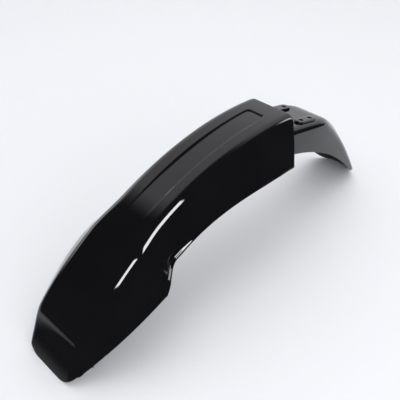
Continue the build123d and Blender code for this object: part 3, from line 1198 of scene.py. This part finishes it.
@dataclass
class Mudguard:
    """The whole moulding: blade, tail, bulkhead and bolt pads in one piece."""

    blade_form: BladeForm
    weld: float = 0.2
    rim_round: float = 1.1
    rim_angle: float = 65.0
    shade_angle: float = 38.0
    bulkhead_inset: float = 0.3
    bulkhead_segments: int = 8
    pad_end_share: float = 0.499
    pad_end_segments: int = 12
    pad_rim_round: float = 0.8
    pad_rim_angle: float = 60.0
    drill_length: float = 40.0
    drill_sides: int = 40

    def build(self) -> bpy.types.Object:
        """Model the skin, dress it and put it in the solid's place.

        Returns:
            The skin.
        """
        tail_form = TailForm(self.blade_form)
        finishes = [FINISHES[face].material() for face in Face]
        blade, tail = Blade(self.blade_form).build(), Tail(tail_form).build()
        for shell in (blade, tail):
            Hand.dress(shell, finishes)
            Hand.apply(shell, "WELD", merge_threshold=self.weld * MM)
            Hand.apply(
                shell,
                "SOLIDIFY",
                thickness=self.blade_form.wall * MM,
                offset=-1.0,
                material_offset=Face.INSIDE.value,
            )
            Hand.level(shell)
            Hand.round_rims(shell, self.rim_round, self.rim_angle)
            log.info("%s: %d faces", shell.name, len(shell.data.polygons))
        bulkhead, pads = self.bulkhead(tail_form), self.pads(tail_form)
        for piece in (bulkhead, pads):
            Hand.dress(piece, finishes)
        self.drill((tail, pads), tail_form)
        skin = Hand.join((blade, tail, bulkhead, pads), "mudguard_skin")
        Hand.only(skin)
        bpy.ops.object.shade_smooth_by_angle(angle=math.radians(self.shade_angle))
        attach(skin, BODY)
        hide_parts(NODE)
        return skin

    def bulkhead(self, tail: TailForm) -> bpy.types.Object:
        """Model the wall that closes the step between the blade's top and the plate.

        Args:
            tail: Sizes of the plate below the step.

        Returns:
            The wall, rounded at its upper corners.
        """
        form = self.blade_form
        x, z = form.rear_top
        lean_x, lean_z = sin_deg(form.rear_lean), cos_deg(form.rear_lean)
        top_half = form.half_width - form.wall / 2
        low_half = form.skirt_half_width(tail.step_drop) - form.wall / 2
        Hand.clear()
        bpy.ops.mesh.primitive_cube_add(size=2)
        piece = bpy.context.object
        piece.name = "bulkhead"
        for vertex in piece.data.vertices:
            side, across, up = (math.copysign(1, number) for number in vertex.co)
            drop = form.wall / 2 if up > 0 else tail.step_drop + form.wall
            half = top_half if up > 0 else low_half
            depth = self.bulkhead_inset + (form.wall if side > 0 else 0.0)
            place = (x - drop * lean_x + depth * lean_z, across * half, z - drop * lean_z - depth * lean_x)
            vertex.co = Vector(place) * MM
        middle = (z - tail.step_drop / 2) * MM

        def upper_corner(start: Vector, end: Vector) -> bool:
            """Whether an edge runs through the wall at one of its upper corners."""
            return abs(start.y - end.y) < LEAST and min(start.z, end.z) > middle

        Hand.bevel_edges(piece, upper_corner, form.crease_reach * MM, self.bulkhead_segments)
        return piece

    def pads(self, tail: TailForm) -> bpy.types.Object:
        """Model the two raised pads that the fork clamp bolts down on.

        Args:
            tail: Sizes of the pads and of the plate that they stand on.

        Returns:
            Both pads as one piece.
        """
        run, up = tail.plate_run, tail.plate_up
        low = -self.blade_form.wall / 2
        height = tail.pad_rise - low
        end_round = self.pad_end_share * tail.pad_width * MM

        def upright(start: Vector, end: Vector) -> bool:
            """Whether an edge stands at one of the pad's corners."""
            return abs(start.z - end.z) > LEAST

        made = []
        for side in (-1, 1):
            Hand.clear()
            bpy.ops.mesh.primitive_cube_add(size=1)
            piece = bpy.context.object
            for vertex in piece.data.vertices:
                along, across, high = vertex.co
                vertex.co = (
                    along * tail.pad_length * MM,
                    across * tail.pad_width * MM,
                    (low + (high + 0.5) * height) * MM,
                )
            Hand.bevel_edges(piece, upright, end_round, self.pad_end_segments)
            Hand.round_rims(piece, self.pad_rim_round, self.pad_rim_angle)
            shift = Vector((0, side * tail.pad_spacing / 2, 0))
            for vertex in piece.data.vertices:
                along, across, high = vertex.co / MM
                place = tail.pad_middle + along * run + Vector((0, -across, 0)) + high * up + shift
                vertex.co = place * MM
            made.append(piece)
        return Hand.join(made, "pads")

    def drill(self, pieces: Sequence[bpy.types.Object], tail: TailForm) -> None:
        """Drill the bolt holes.

        Args:
            pieces: The pieces that the holes go through.
            tail: Sizes of the holes and of the plate that they are square to.
        """
        drills = []
        for side in (-1, 1):
            for end in (-1, 1):
                place = tail.pad_middle + end * tail.bolt_spacing / 2 * tail.plate_run
                place = place + Vector((0, side * tail.pad_spacing / 2, 0))
                Hand.clear()
                bpy.ops.mesh.primitive_cylinder_add(
                    vertices=self.drill_sides,
                    radius=tail.bolt_hole_radius * MM,
                    depth=self.drill_length * MM,
                    location=place * MM,
                    rotation=(0, -math.radians(tail.plate_slope), 0),
                )
                drills.append(bpy.context.object)
        drill = Hand.join(drills, "drill")
        for piece in pieces:
            Hand.apply(piece, "BOOLEAN", object=drill, operation="DIFFERENCE", solver="EXACT")
        bpy.data.objects.remove(drill)


@dataclass(frozen=True)
class Lamp:
    """A soft lamp that doesn't show in the gloss: a lit rectangle that faces a point."""

    name: str
    place: Place
    target: Place
    size: Tuple[float, float]
    power: float

    def build(self) -> None:
        """Hang the lamp."""
        data = bpy.data.lights.new(self.name, "AREA")
        data.shape = "RECTANGLE"
        data.size, data.size_y = self.size
        data.energy = self.power
        lamp = bpy.data.objects.new(self.name, data)
        lamp.location = self.place
        facing = Vector(self.target) - Vector(self.place)
        lamp.rotation_euler = facing.to_track_quat("-Z", "Y").to_euler()
        lamp.visible_camera = False
        lamp.visible_glossy = False
        bpy.context.scene.collection.objects.link(lamp)


@dataclass(frozen=True)
class Window:
    """A bright window of the room that shows only in the gloss.

    It runs from its start to its end, each given as an azimuth and an elevation.
    """

    start: Tuple[float, float]
    end: Tuple[float, float]
    half_width: float
    strength: float
    blue_share: float = 1.02
    even_share: float = 0.8
    front: Band = (0.0, 0.1)

    def light(self) -> Colour:
        """The window's colour at its strength."""
        return (self.strength, self.strength, self.strength * self.blue_share, 1.0)

    def mask(self, graph: Graph, way: Signal) -> Signal:
        """Where a direction looks at the window.

        Args:
            graph: The world's nodes.
            way: The direction that is looked along.

        Returns:
            1 inside the window, easing to 0 at its edges.
        """
        first, last = direction(*self.start), direction(*self.end)
        middle = (first + last).normalized()
        along = (last - first).normalized()
        across = middle.cross(along)
        half_length = (last - first).length / 2
        inside = graph.dot(way, middle).eased(*self.front)
        for axis, half in ((along, half_length), (across, sin_deg(self.half_width))):
            off = graph.dot(way, axis)
            inside = inside * (1 - (off * off).eased((self.even_share * half) ** 2, half**2))
        return inside


LAMPS = (
    Lamp(name="overhead", place=(-0.3, -0.5, 2.2), target=(0.0, 0.0, 0.0), size=(1.8, 1.8), power=12.0),
    Lamp(name="fill", place=(0.5, 1.7, 0.8), target=(0.1, 0.1, 0.0), size=(1.6, 0.9), power=9.0),
)

# Two high on the left, a narrow one behind them, and a low wide one on the right
WINDOWS = (
    Window(start=(84.0, 41.0), end=(64.0, 64.0), half_width=7.5, strength=20.0),
    Window(start=(56.0, 38.0), end=(30.0, 48.0), half_width=7.0, strength=20.0),
    Window(start=(160.0, 38.0), end=(156.0, 17.0), half_width=4.5, strength=6.0),
    Window(start=(-104.0, 14.0), end=(-63.0, 14.0), half_width=7.0, strength=2.5),
)


@dataclass
class Studio:
    """Pale floor, soft light and the camera.

    In the gloss the floor is a pale sheet. Past its borders its material paints a dark reflection: an
    emission that only glossy rays see, standing in for a dark room. A sheet's band is where it starts to turn
    and where it is dark, in metres. A backdrop's band is where the backdrop starts to fade and where it ends,
    as parts of a direction of length 1.
    """

    # Floor, and the borders of the pale sheet that it shows in the gloss, past which it paints a dark
    # reflection
    floor_size: float = 14.0
    floor_colour: Colour = (0.86, 0.87, 0.89, 1.0)
    floor_roughness: float = 0.55
    floor_gloss: float = 0.2
    sheet_end: Band = (0.3, 0.48)
    sheet_side: Band = (-0.2, -0.1)
    sheet_near: Band = (0.04, 0.12)
    sheet_rear: Band = (-0.3, -0.2)
    sheet_far: Band = (0.45, 1.1)
    sheet_front: Band = (0.34, 0.42)

    # Light from all round, and what stands round the floor in the gloss
    sky_colour: Colour = (0.82, 0.83, 0.85, 1.0)
    dark_reflection_colour: Colour = (0.03, 0.029, 0.03, 1.0)
    backdrop_colour: Colour = (0.95, 0.95, 0.98, 1.0)
    backdrop_front: Band = (0.04, 0.24)
    backdrop_side: Band = (0.0, 0.35)
    backdrop_top: Band = (0.80, 0.95)

    # Camera: its place, the way back to it from what it looks at, and its lens and sensor in millimetres
    camera_place: Place = (0.57592, 0.51364, 0.71219)
    camera_azimuth: float = 44.9
    camera_elevation: float = 38.3
    lens: float = 50.58
    sensor: float = 36.0

    def build(self) -> None:
        """Set up everything around the mudguard."""
        self.floor()
        self.world()
        for lamp in LAMPS:
            lamp.build()
        self.camera()
        bpy.context.scene.view_settings.view_transform = "Standard"

    def floor(self) -> None:
        """A wide pale floor, whose material paints a dark reflection past the sheet's borders, seen only by
        glossy rays.
        """
        Hand.clear()
        bpy.ops.mesh.primitive_plane_add(size=self.floor_size)
        floor = bpy.context.object
        floor.name = "floor"
        made = bpy.data.materials.new("pale_floor")
        made.use_nodes = True
        graph = Graph(made.node_tree)
        sheet = graph.node(
            "ShaderNodeBsdfPrincipled",
            {},
            {
                "Base Color": self.floor_colour,
                "Roughness": self.floor_roughness,
                "Specular IOR Level": self.floor_gloss,
            },
        )
        # Painted dark reflection: past the sheet's borders, glossy rays see a dark emission in place of the
        # pale floor
        painted_dark_reflection = graph.node("ShaderNodeEmission", {}, {"Color": self.dark_reflection_colour})
        ahead, aside = graph.parts(graph.node("ShaderNodeTexCoord", output="Object"), "XY")
        painted_reflection_mask = aside.eased(*self.sheet_end) + aside.eased(*self.sheet_side) * ahead.eased(*self.sheet_front)
        painted_reflection_mask = painted_reflection_mask + aside.eased(*self.sheet_near) * ahead.eased(*self.sheet_rear)
        painted_reflection_mask = painted_reflection_mask + ahead.eased(*self.sheet_far)
        gloss = graph.node("ShaderNodeLightPath", output="Is Glossy Ray")
        shader = graph.node("ShaderNodeMixShader", {}, {0: gloss * painted_reflection_mask, 1: sheet, 2: painted_dark_reflection})
        graph.node("ShaderNodeOutputMaterial", {}, {"Surface": shader})
        floor.data.materials.append(made)

    def world(self) -> None:
        """Even pale light, and in the gloss a white backdrop behind, a dark room and its windows."""
        world = bpy.data.worlds.new("studio")
        world.use_nodes = True
        bpy.context.scene.world = world
        graph = Graph(world.node_tree)
        way = graph.node("ShaderNodeTexCoord", output="Generated")
        forward, aside, up = graph.parts(way, "XYZ")
        backdrop = (1 - forward.eased(*self.backdrop_front)) * (1 - aside.eased(*self.backdrop_side))
        backdrop = backdrop * (1 - up.eased(*self.backdrop_top))
        mirrored = graph.mixed(backdrop, self.dark_reflection_colour, self.backdrop_colour)
        for window in WINDOWS:
            mirrored = graph.mixed(window.mask(graph, way), mirrored, window.light())
        gloss = graph.node("ShaderNodeLightPath", output="Is Glossy Ray")
        seen = graph.mixed(gloss, self.sky_colour, mirrored)
        shader = graph.node("ShaderNodeBackground", {}, {"Color": seen, "Strength": 1.0})
        graph.node("ShaderNodeOutputWorld", {}, {"Surface": shader})

    def camera(self) -> None:
        """The camera at the photograph's viewing angle."""
        data = bpy.data.cameras.new("camera")
        data.lens = self.lens
        data.sensor_width = self.sensor
        camera = bpy.data.objects.new("camera", data)
        camera.location = self.camera_place
        facing = -direction(self.camera_azimuth, self.camera_elevation)
        camera.rotation_euler = facing.to_track_quat("-Z", "Y").to_euler()
        bpy.context.scene.collection.objects.link(camera)
        bpy.context.scene.camera = camera


def main() -> None:
    """Build the mudguard, then the studio round it."""
    logging.basicConfig(level=logging.INFO, format="%(name)s: %(message)s")
    skin = Mudguard(BladeForm()).build()
    log.info("%s: %d faces", skin.name, len(skin.data.polygons))
    Studio().build()


if __name__ == "__main__":
    main()
